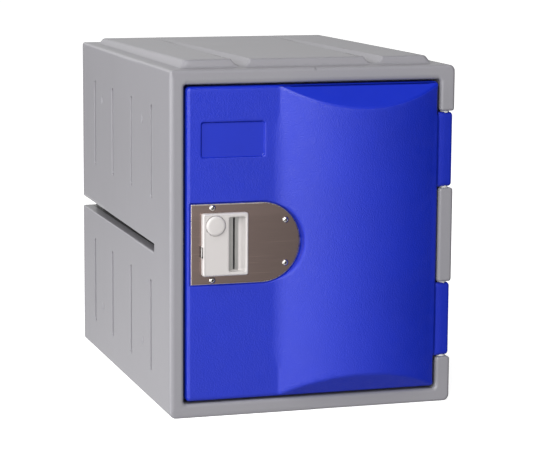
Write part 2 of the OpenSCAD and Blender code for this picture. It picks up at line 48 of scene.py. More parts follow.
WALL, RIM, RIMD, PANEL, FALL = 6.0, 18.5, 36.0, 10.0, 6.0
AX0, AX1, AZ0, AZ1 = -OX + RIM, OX - 20.3, RIM, H - RIM
LIP, LIPY = 9.0, 29.5
HX, HY = OX - 10.5, 10.5
KOFF, KLEN, KGAP, SWING, KR = 113.5, 99.0, 1.5, 15.6, 9.5
DX0, DX1, DZ0, DZ1 = AX0 + 3, HX - 11, AZ0 + 3, AZ1 - 3
DT, SKIN = 28.0, 4.5
BC = HX - 13 - BHALF
BR = (BHALF ** 2 + BP ** 2) / (2 * BP)
BE, BK = 2.0, 27.0 / 28.0
LZ, LX = MID + 1.5, DX0
PX0, PRR, PCX = LX + 6, 52.2, LX + 100
HS = (LX + 19.5, LX + 80.3, LZ - 40.5, LZ + 40.5)
KX, KZ, KNR, HP = LX + 36.5, LZ + 25, 12.8, 9.0
SX = LX + 63.5
SC0, SCZ0, SCZ1, FLOORY = LX + 54.5, LZ - 35.5, LZ + 35.5, 3.2
CS = (LX + 10, LX + 100, LZ - 41, LZ + 41)
CY0, CY1 = 6.5, 46.0
RACKZ = KZ - 7.5
BZ1 = RACKZ - 2.5
BZ0 = BZ1 - 16.5
BZC = (BZ0 + BZ1) / 2
CHZ = MID - 14
FLW, FLD = 4.4, 3.0
PLATE_SCREWS = [(LX + 34.3, LZ + 46.8), (LX + 34.3, LZ - 46.8), (LX + 132, LZ + 28), (LX + 132, LZ - 28)]
CASE_SCREWS = [(LX + 26, LZ - 33), (LX + 26, LZ + 34), (LX + 72.5, LZ - 8), (LX + 72.5, LZ + 34)]
LINER_SCREWS = [(x, z) for x in (DX0 + 21, -10, 138) for z in (DZ0 + 19, DZ1 - 19)]
CUP_SCREWS = [(SX - 15.5, LZ - 28), (SX + 15.5, LZ - 28)]
FIX = [(D / 2 + 9 + s * 120, MID - 1 + t * 150) for s in (-1, 1) for t in (-1, 1)]


# ------------------------------------------------------------------ distance fields
# Each moulded piece is described by a signed distance in millimetres, which
# gives every edge its own rounding, and is then turned into a mesh.
def ir(a, b, r):
    """both, with the edge between them rounded to radius r"""
    if np.isscalar(r) and r <= 0:
        return np.maximum(a, b)
    u, v = np.maximum(a + r, 0), np.maximum(b + r, 0)
    return np.minimum(np.maximum(a, b), -r) + np.sqrt(u * u + v * v)


def ur(a, b, r):
    """either, with a fillet of radius r between them"""
    return -ir(-a, -b, r)


def dr(a, b, r):
    """a without b, with the edge rounded to radius r"""
    return ir(a, -b, r)


def ic(a, b, c, r):
    """both, with the edge between them cut off by c and the cut's own edges rounded to r"""
    return ir(ir(a, (a + b + c) * 0.70711, r), b, r)


def smin(a, b, k):
    h = np.maximum(k - np.abs(a - b), 0) / k
    return np.minimum(a, b) - h * h * k * 0.25


def rect(u, v, u0, u1, v0, v1, r=0.0):
    a = np.abs(u - (u0 + u1) / 2) - ((u1 - u0) / 2 - r)
    b = np.abs(v - (v0 + v1) / 2) - ((v1 - v0) / 2 - r)
    return np.sqrt(np.maximum(a, 0) ** 2 + np.maximum(b, 0) ** 2) + np.minimum(np.maximum(a, b), 0) - r


def slab(u, u0, u1):
    return np.abs(u - (u0 + u1) / 2) - (u1 - u0) / 2


def bx(P, a, b, r=0.0):
    q = [np.abs(P[i] - (a[i] + b[i]) / 2) - ((b[i] - a[i]) / 2 - r) for i in range(3)]
    m = np.maximum(np.maximum(q[0], q[1]), q[2])
    return np.sqrt(sum(np.maximum(c, 0) ** 2 for c in q)) + np.minimum(m, 0) - r


def circ(u, v, cu, cv, r):
    return np.hypot(u - cu, v - cv) - r


def capsule_z(P, x, y, z0, z1, r):
    return np.sqrt((P[0] - x) ** 2 + (P[1] - y) ** 2 + (P[2] - np.clip(P[2], z0, z1)) ** 2) - r


def cabinet_sd(P):
    x, d, z = P
    # box, its ledge falling a little to the back and its corners tighter there
    t = np.clip(d / D, 0, 1)
    rc = np.where((z > MID) & (x < 0), 3.2, 8.5 - 4.5 * t)
    f = ir(rect(x, z + 3.4 * t * np.clip(z / H, 0, 1), -OX, OX, 0, H, rc), slab(d, 0, D), np.where(x > 0, 4.0, 3.0))
    # raised stacking panel with sloped edges
    side = ((np.abs(x) - (OX - 22)) * 10 + (z - H) * 6) / 11.662
    fb = np.maximum((-(d - 29) * 10 + (z - H) * 7) / 12.207, ((d - (D - 24)) * 4 + (z - H) * 3) / 5.0)
    fall = FALL / (D - 27 - 36)
    top = ((z - H - PANEL) + fall * (d - 36)) / math.sqrt(1 + fall * fall)
    panel = ir(ir(side, fb, 5.0), top, 2.0)
    panel = np.maximum(panel, H - 6 - z)
    for s in (-1, 1):
        groove = circ(x, z - 3.9 * (d - 36) / 457, s * 90, H + 13.6, 13.0)
        panel = dr(panel, groove, 1.2)
    f = ur(f, panel, 2.5)
    # compartment, stepped in round the side channels
    cav = bx(P, (-OX + WALL, RIMD, PANEL + 1 + WALL), (OX - WALL, D - WALL, H - WALL), 12.0)
    for s in (-1, 1):
        a, b = (-OX - 20, -OX + 26) if s < 0 else (OX - 26, OX + 20)
        rail = bx(P, (a, 84 - WALL, CHZ - 6.25 - WALL), (b, D + 20, CHZ + 6.25 + WALL), 5.0)
        cav = dr(cav, rail, 4.0)
    f = np.maximum(f, -cav)
    # door opening with the stop lip behind the door
    f = dr(f, ir(rect(x, z, AX0 + LIP, AX1, AZ0 + LIP, AZ1 - LIP, 5.0), slab(d, LIPY - 2, RIMD + 6), 0), 2.0)
    f = dr(f, np.maximum(rect(x, z, AX0, AX1, AZ0, AZ1, 4.0), slab(d, -40, LIPY)), 4.4)
    for s in (-1, 1):
        # long channel, open at the back and a little taller there
        a, b = (-OX - 30, -OX + 20) if s < 0 else (OX - 20, OX + 30)
        u = np.clip((d - 84) / (D - 84), 0, 1)
        level = (z - CHZ + 0.95 - 0.525 * u) * 6.25 / (5.3 + 1.875 * u)
        f = dr(f, bx((x, d, level), (a, 84, -6.25), (b, D + 40, 6.25), 1.5), 1.4)
        # upright flutes
        for i in range(4):
            for u, z0, z1 in ((99 + i * 112, MID + 50, MID + 172), (103 + i * 112, MID - 182, MID - 60)):
                f = dr(f, ir(rect(d, z, u - FLW, u + FLW, z0, z1, FLW), slab(x * s, OX - FLD, OX + 20), 1.0), 0.9)
        # fixing holes, each closed by a thin dished skin
        for y, zz in FIX:
            ball = np.sqrt((x - s * (OX + 7.0)) ** 2 + (d - y) ** 2 + (z - zz) ** 2) - 8.4
            f = dr(f, ball, 1.2)
        # gaps in the hinge post for the door's knuckles
        zc = MID + s * KOFF
        f = dr(f, bx(P, (AX1 - 6, -40, zc - KLEN / 2 - KGAP), (OX + 40, 22, zc + KLEN / 2 + KGAP), 2.0), 3.0)
    # recess underneath
    f = dr(f, bx(P, (-OX + 20, 22, -20), (OX - 20, D - 22, PANEL + 1), 4.0), 2.5)
    # rod bore, plug, strike
    f = np.maximum(f, -np.maximum(circ(x, d, HX, HY, 3.05), z - (H - 9)))
    f = np.maximum(f, -np.maximum(circ(x, d, HX, HY, 5.0), z - 8))
    f = np.maximum(f, -bx(P, (AX0 - 2.2, 7.5, BZC - 31.5), (AX0 + 6, 28.5, BZC + 31.5), 0.5))
    f = np.maximum(f, -bx(P, (AX0 - 15, 12.5, BZ0 - 1.5), (AX0 + 6, 23.5, BZ1 + 1.5), 0.5))
    return f


def lock2(x, z):
    return np.minimum(rect(x, z, PX0, PCX, LZ - PRR, LZ + PRR, 0.0), circ(x, z, PCX, LZ, PRR))


def bulge_sd(P, inset, deep):
    x, d, z = P
    cyl = circ(x, d, BC, BR - BP, BR - inset)
    n = math.sqrt(1 + BK * BK)
    ends = np.maximum((z - (DZ1 - BE) - BK * d) / n, ((DZ0 + BE) - z - BK * d) / n) + inset
    return np.maximum(ir(cyl, ends, 1.9), d - deep)


def door_sd(P):
    x, d, z = P
    f = ir(ic(rect(x, z, DX0, DX1, DZ0, DZ1, 5.0), -d, 3.2, 1.3), d - DT, 1.5)
    soft_k = 1.0 + 4.0 * np.clip((DZ1 - 36 - z) / 20, 0, 1) * np.clip((z - DZ0 - 36) / 20, 0, 1)
    f = smin(f, bulge_sd(P, 0.0, 1.0), soft_k)
    cav = rect(x, z, DX0 + SKIN, HX - SWING - SKIN, DZ0 + SKIN, DZ1 - SKIN, 2.0)
    cav = np.minimum(np.maximum(cav, slab(d, SKIN, DT + 20)), np.maximum(bulge_sd(P, SKIN, 8.0), cav))
    cav = np.maximum(cav, -np.maximum(lock2(x, z) - 1.2 - SKIN, d - 6.5))
    f = np.maximum(f, -cav)
    f = dr(f, circ(x, d, HX, HY, SWING), 2.0)
    for s in (-1, 1):
        zc = MID + s * KOFF
        long = slab(z, zc - KLEN / 2, zc + KLEN / 2)
        # knuckle: flat in front, with a full front corner and a round back
        kn = np.minimum(circ(x, d, HX, HY, KR), np.maximum(rect(x, d, HX - 14, HX + KR, HY - KR, HY + KR, 6.5), d - HY))
        web = rect(x, d, HX - SWING - SKIN, HX, 1.0, HY + 9.0, 1.5)
        turned = (x - (HX - 9)) * 0.242 - (d - 0.6) * 0.970
        kn = ic(ir(np.minimum(kn, web), turned, 1.5), long, 3.2, 1.2)
        f = smin(f, kn, 2.0)
    # seat of the lock plate
    f = dr(f, np.maximum(lock2(x, z) - 1.4, slab(d, -60, 2.0)), 1.2 + 2.6 * np.clip((-d - 1.5) / 4, 0, 1))
    f = np.maximum(f, -bx(P, (HS[0] + 2.2, -5, HS[2] + 2.2), (HS[1] - 2.2, 12, HS[3] - 2.2)))
    # shallow card recess
    f = dr(f, np.maximum(rect(x, z, DX0 + 20, DX0 + 103.5, MID + 113, MID + 158, 3.0), slab(d, -20, 2.4)), 2.0)
    # bolt slot, knuckle bores
    f = np.maximum(f, -bx(P, (DX0 - 10, 13.4, BZ0 - 0.6), (DX0 + SKIN + 4, 22.6, BZ1 + 0.6)))
    f = np.maximum(f, -circ(x, d, HX, HY, 4.6))
    return f


def plate_sd(P):
    x, d, z = P
    f = ir(lock2(x, z), slab(d, 0, 2.0), 0.8)
    f = np.maximum(f, -rect(x, z, HS[0] + 2.4, HS[1] - 2.4, HS[2] + 2.4, HS[3] - 2.4))
    for u, v in PLATE_SCREWS:
        f = np.maximum(f, -circ(x, z, u, v, 1.8))
    return f


def housing_sd(P):
    x, d, z = P
    f = np.maximum(ic(rect(x, z, *HS, 3.0), -HP - d, 1.9, 0.6), d)
    # face let in a little inside its border
    f = dr(f, np.maximum(rect(x, z, HS[0] + 2.7, HS[1] - 2.2, HS[2] + 2.4, HS[3] - 2.2, 1.5), slab(d, -40, -HP + 0.4)), 0.5)
    f = ur(f, bx(P, (HS[0] - 0.6, -8.0, LZ - 18.2), (HS[0] + 3, -0.8, LZ - 1.3), 0.4), 0.4)
    f = np.minimum(f, bx(P, (HS[0] + 2.7, -2, HS[2] + 2.7), (HS[1] - 2.7, CY0, HS[3] - 2.7)))
    for u, v in CASE_SCREWS:
        f = np.minimum(f, np.maximum(circ(x, z, u, v, 3.2), slab(d, 3, 14)))
    # finger scoop, steep on the left and curved up on the right
    cx, cy, rx, ry = SX + 6.0, -HP - 0.1, 6.8, HP + 0.1 + 2.0
    k = np.sqrt(((x - cx) / rx) ** 2 + ((d - cy) / ry) ** 2)
    low = np.where(x > cx, np.where(d > cy, (k - 1) * rx, x - cx - rx), d - np.where(x > SX + 5.65, 2.0, FLOORY))
    scoop = ir(ir(SC0 - x, low, 1.2), slab(z, SCZ0, SCZ1), 2.5)
    f = dr(f, scoop, 1.3)
    f = np.maximum(f, -bx(P, (SX - 2, 0, SCZ0 + 1.5), (SX + 2, CY0 + 4, SCZ1 - 1.5)))
    f = np.maximum(f, -np.maximum(circ(x, z, KX, KZ, KNR + 0.15), slab(d, -30, -HP + 1)))
    f = np.maximum(f, -np.maximum(circ(x, z, KX, KZ, 4.5), slab(d, -30, 20)))
    f = np.maximum(f, -bx(P, (HS[0] - 6, -7.4, LZ - 17), (HS[0] + 5, -1.4, LZ - 2.5), 0.5))
    return f


def liner_sd(P):
    x, d, z = P
    f = ir(rect(x, z, DX0 + SKIN + 0.4, HX - SWING - SKIN - 0.4, DZ0 + SKIN + 0.4, DZ1 - SKIN - 0.4, 2.0), slab(d, DT - 3, DT), 0.8)
    f = dr(f, rect(x, z, CS[0] - 0.6, CS[1] + 0.6, CS[2] - 0.6, CS[3] + 0.6, 1.5), 0.6)
    # shallow stiffening fields
    for z0, z1 in ((DZ0 + 42, LZ - 62), (LZ + 62, DZ1 - 42)):
        for i in range(4):
            u = DX0 + 44 + i * 66
            f = dr(f, np.maximum(rect(x, z, u, u + 40, z0, z1, 10.0), slab(d, DT - 1.2, DT + 20)), 1.2)
    u = LX + 120
    for i in range(3):
        f = dr(f, np.maximum(rect(x, z, u + i * 66, u + i * 66 + 40, LZ - 40, LZ + 40, 10.0), slab(d, DT - 1.2, DT + 20)), 1.2)
    for u, v in LINER_SCREWS:
        f = np.maximum(f, -circ(x, z, u, v, 1.8))
    return f


def case_sd(P):
    x, d, z = P
    f = ir(rect(x, z, *CS, 2.5), slab(d, CY0, CY1), 0.6)
    f = np.maximum(f, -np.maximum(rect(x, z, CS[0] + 2.5, CS[1] - 2.5, CS[2] + 2.5, CS[3] - 2.5, 1.5), slab(d, CY0 + 2.5, CY1 + 20)))
    for u, v in CASE_SCREWS:
        f = np.minimum(f, np.maximum(circ(x, z, u, v, 5.0), slab(d, CY0 + 1, CY1)))
    f = np.minimum(f, bx(P, (CS[0] + 1, 10, BZ0 - 4), (CS[0] + 47, 23.5, BZ0 - 0.3)))
    f = np.minimum(f, bx(P, (CS[0] + 1, 10, BZ1 + 0.3), (CS[0] + 6.5, 23.5, BZ1 + 4.5)))
    f = np.minimum(f, bx(P, (CS[0] + 1, CY0 + 1, BZ0 - 4), (CS[0] + 47, 13.6, BZ0 + 4)))
    f = np.maximum(f, -bx(P, (CS[0] - 5, 13.6, BZ0 - 0.3), (CS[0] + 3.5, 22.4, BZ1 + 0.3)))
    f = np.maximum(f, -np.maximum(circ(x, z, KX, KZ, 4.5), d - 12))
    f = np.maximum(f, -bx(P, (SX - 1.8, 0, SCZ0 + 1.5), (SX + 1.8, CY0 + 3.5, SCZ1 - 1.5)))
    for u, v in CASE_SCREWS:
        f = np.maximum(f, -circ(x, z, u, v, 1.75))
        f = np.maximum(f, -np.maximum(circ(x, z, u, v, 3.4), d - 14.2))
    return f


def cover_sd(P):
    x, d, z = P
    f = ir(rect(x, z, *CS, 2.5), slab(d, CY1, CY1 + 2.5), 0.8)
    f = dr(f, rect(x, z, SX - 2.5, SX + 2.5, LZ - 37, LZ - 10, 1.0), 0.4)
    for u, v in CASE_SCREWS:
        f = np.maximum(f, -circ(x, z, u, v, 1.75))
    for u, v in CUP_SCREWS:
        f = np.maximum(f, -circ(x, z, u, v, 1.3))
    return f


def cup_sd(P):
    x, d, z = P
    y0 = CY1 + 2.5
    f = bx(P, (SX - 11.5, y0 - 8, LZ - 41), (SX + 11.5, y0 + 20, LZ - 15), 3.5)
    f = ur(f, ir(rect(x, z, SX - 19, SX + 19, LZ - 33, LZ - 23, 2.5), slab(d, y0 - 6, y0 + 2), 0.6), 1.0)
    f = dr(f, bx(P, (SX - 9.5, y0 - 20, LZ - 39), (SX + 9.5, y0 + 18, LZ + 10), 2.5), 0.6)
    f = dr(f, bx(P, (SX - 7, y0 + 10, LZ - 26), (SX + 7, y0 + 40, LZ + 10), 3.0), 0.6)
    f = np.maximum(f, y0 - d)
    for u, v in CUP_SCREWS:
        f = np.maximum(f, -circ(x, z, u, v, 1.6))
    return f


# ------------------------------------------------------------------ meshing
def field(sd, lo, hi, h):
    """the distance on a grid of step h, exact near the surface only"""
    n = [int(math.ceil((hi[i] - lo[i]) / h)) + 1 for i in range(3)]
    B = 12
    nb = [int(math.ceil(c / B)) for c in n]
    g = np.meshgrid(*[np.arange(c) for c in nb], indexing="ij")
    cen = [(g[i].ravel() * B + (B - 1) / 2) * h + lo[i] for i in range(3)]
    val = sd(cen)
    coarse = val.reshape(nb)
    out = np.repeat(np.repeat(np.repeat(coarse, B, 0), B, 1), B, 2).astype(np.float32)
    near = np.nonzero(np.abs(val) < 0.5 * math.sqrt(3) * (B + 1) * h * 1.05)[0]
    idx = np.stack([g[i].ravel()[near] for i in range(3)], 1)
    off = np.stack(np.meshgrid(*[np.arange(B)] * 3, indexing="ij"), -1).reshape(-1, 3)
    step = max(1, 400000 // (B ** 3))
    for k in range(0, len(idx), step):
        ii = (idx[k:k + step, None, :] * B + off[None]).reshape(-1, 3)
        out[ii[:, 0], ii[:, 1], ii[:, 2]] = sd([ii[:, i] * h + lo[i] for i in range(3)])
    return out


def gradient(sd, V, eps):
    g = np.zeros_like(V)
    for s in ((1, 1, 1), (1, -1, -1), (-1, 1, -1), (-1, -1, 1)):
        q = [V[:, i] + eps * s[i] for i in range(3)]
        v = sd(q)
        for i in range(3):
            g[:, i] += s[i] * v
    return g / (4 * eps)


def moulded(name, sd, lo, hi, h, adapt=0.0, body=None, node=None, flat=False):
    """a mesh of the field's surface, each vertex moved onto it, with the field's own normals"""
    import openvdb
    lo = [c - 2.5 * h for c in lo]
    hi = [c + 2.5 * h for c in hi]
    a = field(sd, lo, hi, h)
    grid = openvdb.FloatGrid(float(3 * h))
    grid.copyFromArray(np.clip(a, -3 * h, 3 * h).astype(np.float32))
    V, T, Q = grid.convertToPolygons(0.0, adapt)
    V = np.asarray(V, np.float64) * h + np.array(lo)
    T, Q = np.asarray(T, np.int64).reshape(-1, 3), np.asarray(Q, np.int64).reshape(-1, 4)
    def settle(idx, times):
        for _ in range(times):
            f = sd([V[idx, i] for i in range(3)])
            g = gradient(sd, V[idx], 0.12 * h)
            m = np.maximum((g * g).sum(1), 0.3)
            V[idx] -= g * (np.clip(f, -0.6 * h, 0.6 * h) / m)[:, None]

    def normals():
        n = gradient(sd, V, 0.1 * h)
        return n / np.maximum(np.linalg.norm(n, axis=1), 1e-6)[:, None]

    settle(np.arange(len(V)), 3)
    # faces that folded over while merging are eased apart
    tri = np.concatenate([T, Q[:, [0, 1, 2]], Q[:, [1, 2, 3]], Q[:, [2, 3, 0]], Q[:, [3, 0, 1]]])
    e = np.concatenate([T[:, [0, 1]], T[:, [1, 2]], T[:, [2, 0]], Q[:, [0, 1]], Q[:, [1, 2]], Q[:, [2, 3]], Q[:, [3, 0]]])
    for _ in range(12):
        N = normals()
        c = np.cross(V[tri[:, 1]] - V[tri[:, 0]], V[tri[:, 2]] - V[tri[:, 0]])
        turn = (c * (N[tri[:, 0]] + N[tri[:, 1]] + N[tri[:, 2]])).sum(1)
        if turn.sum() < 0:
            turn = -turn
        bad = np.unique(tri[turn < 0.02 * h * h])
        if len(bad) == 0:
            break
        mark = np.zeros(len(V), bool)
        mark[bad] = True
        total, count = np.zeros_like(V), np.zeros(len(V))
        for a, b in ((0, 1), (1, 0)):
            np.add.at(total, e[:, a], V[e[:, b]])
            np.add.at(count, e[:, a], 1)
        V[mark] = 0.3 * V[mark] + 0.7 * total[mark] / np.maximum(count[mark], 1)[:, None]
        settle(bad, 2)
    N = normals()
    loops = np.concatenate([T.ravel(), Q.ravel()]).astype(np.int32)
    counts = np.concatenate([np.full(len(T), 3), np.full(len(Q), 4)]).astype(np.int32)
    starts = np.concatenate([[0], np.cumsum(counts)[:-1]]).astype(np.int32)
    # outward faces
    first = np.concatenate([T[:, :3], Q[:, :3]])
    fn = np.cross(V[first[:, 1]] - V[first[:, 0]], V[first[:, 2]] - V[first[:, 0]])
    if (fn * N[first[:, 0]]).sum() < 0:
        T, Q = T[:, ::-1], Q[:, ::-1]
        loops = np.concatenate([T.ravel(), Q.ravel()]).astype(np.int32)
    me = bpy.data.meshes.new(name)
    me.vertices.add(len(V))
    pos = np.stack([V[:, 0], V[:, 1] + FY, V[:, 2]], 1) / 1000
    me.vertices.foreach_set("co", pos.astype(np.float32).ravel())
    me.loops.add(len(loops))
    me.loops.foreach_set("vertex_index", loops)
    me.polygons.add(len(counts))
    me.polygons.foreach_set("loop_start", starts)
    me.polygons.foreach_set("use_smooth", np.ones(len(counts), bool))
    me.update(calc_edges=True)
    me.validate()
    if flat:
        # wide faces lie on flat walls and take the wall's own normal
        nf = len(me.polygons)
        fn, area = np.empty(nf * 3, np.float32), np.empty(nf, np.float32)
        total, vi = np.empty(nf, np.int32), np.empty(len(me.loops), np.int32)
        me.polygons.foreach_get("normal", fn)
        me.polygons.foreach_get("area", area)
        me.polygons.foreach_get("loop_total", total)
        me.loops.foreach_get("vertex_index", vi)
        w = np.clip((area * 1e6 / (h * h) - 0.6) / 0.6, 0, 1) * (np.abs(fn.reshape(-1, 3)).max(1) > 0.9995)
        which = np.repeat(np.arange(nf), total)
        ln = N[vi] * (1 - w[which])[:, None] + fn.reshape(-1, 3)[which] * w[which][:, None]
        ln /= np.maximum(np.linalg.norm(ln, axis=1), 1e-6)[:, None]
        me.normals_split_custom_set(ln.astype(np.float32).tolist())
    else:
        me.normals_split_custom_set_from_vertices(N.astype(np.float32).tolist())
    ob = bpy.data.objects.new(name, me)
    bpy.context.collection.objects.link(ob)
    print("moulded", name, len(V), "verts", len(counts), "faces")
    if body:
        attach(ob, body)
    if node:
        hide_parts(node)
    return ob


def lathe(name, prof, cx, cz, steps, body=None, node=None):
    """a round piece about an axis along d: prof is (radius, depth) from front centre to back centre"""
    bm = bmesh.new()
    rings = []
    for r, d in prof:
        if r < 1e-6:
            rings.append([bm.verts.new((cx / 1000, (d + FY) / 1000, cz / 1000))])
        else:
            rings.append([bm.verts.new(((cx + r * math.cos(2 * math.pi * i / steps)) / 1000, (d + FY) / 1000,
                                        (cz + r * math.sin(2 * math.pi * i / steps)) / 1000)) for i in range(steps)])
    for a, b in zip(rings, rings[1:]):
        for i in range(steps):
            j = (i + 1) % steps
            if len(a) == 1 and len(b) > 1:
                bm.faces.new((a[0], b[j], b[i]))
            elif len(b) == 1 and len(a) > 1:
                bm.faces.new((a[i], a[j], b[0]))
            elif len(a) > 1:
                bm.faces.new((a[i], a[j], b[j], b[i]))
    bmesh.ops.recalc_face_normals(bm, faces=bm.faces)
    me = bpy.data.meshes.new(name)
    bm.to_mesh(me)
    bm.free()
    for p in me.polygons:
        p.use_smooth = True
    ob = bpy.data.objects.new(name, me)
    bpy.context.collection.objects.link(ob)
    if body:
        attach(ob, body)
    if node:
        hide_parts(node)
    return ob


def domes(name, places, hr, hh, socket, deep, shank, length, body, node):
    """round-headed screws along d, each with a socket that takes the second material, which paints the socket dark as
    painted shade
    """
    R, c = (hr * hr + hh * hh) / (2 * hh), (hr * hr - hh * hh) / (2 * hh)
    top = c - math.sqrt(R * R - socket * socket)
    prof = [(0, top + deep + 0.3), (socket * 0.55, top + deep), (socket * 0.92, top + deep), (socket, top + 0.12)]
    inner = len(prof) - 1
    for i in range(13):
        r = socket + 0.12 + (hr - socket - 0.12) * math.sin(math.pi / 2 * i / 12)
        prof.append((r, c - math.sqrt(max(R * R - r * r, 0))))
    prof += [(hr - 0.1, 0.15), (shank, 0.15), (shank, length - 0.8), (shank * 0.5, length), (0, length)]
    bm = bmesh.new()
    steps = 48
    for cx, cz in places:
        rings = []
        for r, d in prof:
            n = 1 if r < 1e-6 else steps
            rings.append([bm.verts.new(((cx + r * math.cos(2 * math.pi * i / steps)) / 1000, (d + FY) / 1000,
                                        (cz + r * math.sin(2 * math.pi * i / steps)) / 1000)) for i in range(n)])
        for q, (a, b) in enumerate(zip(rings, rings[1:])):
            for i in range(steps):
                j = (i + 1) % steps
                if len(a) == 1:
                    f = bm.faces.new((a[0], b[j], b[i]))
                elif len(b) == 1:
                    f = bm.faces.new((a[i], a[j], b[0]))
                else:
                    f = bm.faces.new((a[i], a[j], b[j], b[i]))
                f.smooth = True
                f.material_index = 1 if q < inner else 0
    bmesh.ops.recalc_face_normals(bm, faces=bm.faces)
    me = bpy.data.meshes.new(name)
    bm.to_mesh(me)
    bm.free()
    ob = bpy.data.objects.new(name, me)
    bpy.context.collection.objects.link(ob)
    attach(ob, body)
    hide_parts(node)
    return ob


# ------------------------------------------------------------------ materials
def material(name, base, rough, metallic=0.0):
    m = bpy.data.materials.new(name)
    m.use_nodes = True
    nt = m.node_tree
    b = nt.nodes["Principled BSDF"]
    b.inputs["Base Color"].default_value = (*base, 1)
    b.inputs["Roughness"].default_value = rough
    b.inputs["Metallic"].default_value = metallic
    return m, nt, b


def add(nt, kind, **kw):
    n = nt.nodes.new(kind)
    for k, v in kw.items():
        setattr(n, k, v)
    return n


def coords(nt, scale=(1, 1, 1)):
    tc = add(nt, "ShaderNodeTexCoord")
    mp = add(nt, "ShaderNodeMapping")
    mp.inputs["Scale"].default_value = scale
    nt.links.new(tc.outputs["Object"], mp.inputs["Vector"])
    return mp.outputs["Vector"]


def noise(nt, vec, scale, detail=2.0, rough=0.5):
    n = add(nt, "ShaderNodeTexNoise")
    n.inputs["Scale"].default_value = scale
    n.inputs["Detail"].default_value = detail
    n.inputs["Roughness"].default_value = rough
    nt.links.new(vec, n.inputs["Vector"])
    return n.outputs["Fac"]


def ramp(nt, fac, stops):
    r = add(nt, "ShaderNodeValToRGB")
    cr = r.color_ramp
    while len(cr.elements) < len(stops):
        cr.elements.new(0.5)
    for e, (p, c) in zip(cr.elements, stops):
        e.position = p
        e.color = (*c, 1)
    nt.links.new(fac, r.inputs["Fac"])
    return r.outputs["Color"]


def remap(nt, fac, a, b, lo, hi):
    r = add(nt, "ShaderNodeMapRange")
    r.inputs["From Min"].default_value = a
    r.inputs["From Max"].default_value = b
    r.inputs["To Min"].default_value = lo
    r.inputs["To Max"].default_value = hi
    nt.links.new(fac, r.inputs["Value"])
    return r.outputs["Result"]


def bump(nt, b, height, strength, dist):
    n = add(nt, "ShaderNodeBump")
    n.inputs["Strength"].default_value = strength
    n.inputs["Distance"].default_value = dist
    nt.links.new(height, n.inputs["Height"])
    nt.links.new(n.outputs["Normal"], b.inputs["Normal"])


def mixc(c, k):
    return tuple(min(1.0, max(0.0, v * k)) for v in c)


def plastic(name, base, rough, grain=350, grain_depth=0.00012, var=0.04, spec=0.5, dark=None, polish=None, detail=2.0, vary=1.0, lift=0.6):
    """moulded plastic: faint cloudy colour, a fine raised grain, and smooth glossy places where polish is 1"""
    m, nt, b = material(name, base, rough)
    v = coords(nt)
    big = noise(nt, v, 9, 3, 0.55)
    fine = noise(nt, v, grain, detail, 0.6)
    col = ramp(nt, big, [(0.3, mixc(base, 1 - var)), (0.7, mixc(base, 1 + var))])
    if dark:
        col = dark(nt, col)
    nt.links.new(col, b.inputs["Base Color"])
    mid = noise(nt, v, 70, 3, 0.5)
    gloss = remap(nt, mid, 0.3, 0.7, rough - 0.05 * vary, rough + 0.06 * vary)
    if polish:
        k = math2(nt, "SUBTRACT", 1.0, polish(nt))
        gloss = math2(nt, "MULTIPLY", gloss, math2(nt, "ADD", math2(nt, "MULTIPLY", k, 0.5), 0.5))
        fine = math2(nt, "MULTIPLY", fine, k)
    nt.links.new(gloss, b.inputs["Roughness"])
    b.inputs["Specular IOR Level"].default_value = spec
    bump(nt, b, fine, lift, grain_depth)
    return m


def step_up(nt, val, a, b):
    r = add(nt, "ShaderNodeMapRange", interpolation_type="SMOOTHSTEP")
    r.inputs["From Min"].default_value = a
    r.inputs["From Max"].default_value = b
    nt.links.new(val, r.inputs["Value"])
    return r.outputs["Result"]


def math2(nt, op, a, b):
    n = add(nt, "ShaderNodeMath", operation=op)
    for i, c in enumerate((a, b)):
        if isinstance(c, (int, float)):
            n.inputs[i].default_value = c
        else:
            nt.links.new(c, n.inputs[i])
    return n.outputs[0]


def door_polish(nt):
    """1 where the mould was polished: card recess, upper end of the bulge and the door's rim"""
    tc = add(nt, "ShaderNodeTexCoord")
    sp = add(nt, "ShaderNodeSeparateXYZ")
    nt.links.new(tc.outputs["Object"], sp.inputs[0])
    x, y, z = sp.outputs["X"], sp.outputs["Y"], sp.outputs["Z"]
    d = math2(nt, "SUBTRACT", y, FY / 1000)
    card = math2(nt, "MULTIPLY", step_up(nt, d, 0.0008, 0.0014), step_up(nt, d, 0.0036, 0.0030))
    card = math2(nt, "MULTIPLY", card, step_up(nt, x, -0.06, -0.065))
    card = math2(nt, "MULTIPLY", card, step_up(nt, z, (MID + 108) / 1000, (MID + 112) / 1000))
    kd = math2(nt, "MULTIPLY", d, BK)
    hi = math2(nt, "SUBTRACT", math2(nt, "SUBTRACT", z, kd), (DZ1 - BE) / 1000)
    ends = step_up(nt, hi, -0.0026, -0.0014)
    rim = math2(nt, "MULTIPLY", step_up(nt, x, (DX0 + 4.4) / 1000, (DX0 + 3.4) / 1000), 0.5)
    return math2(nt, "MAXIMUM", math2(nt, "MAXIMUM", card, ends), rim)


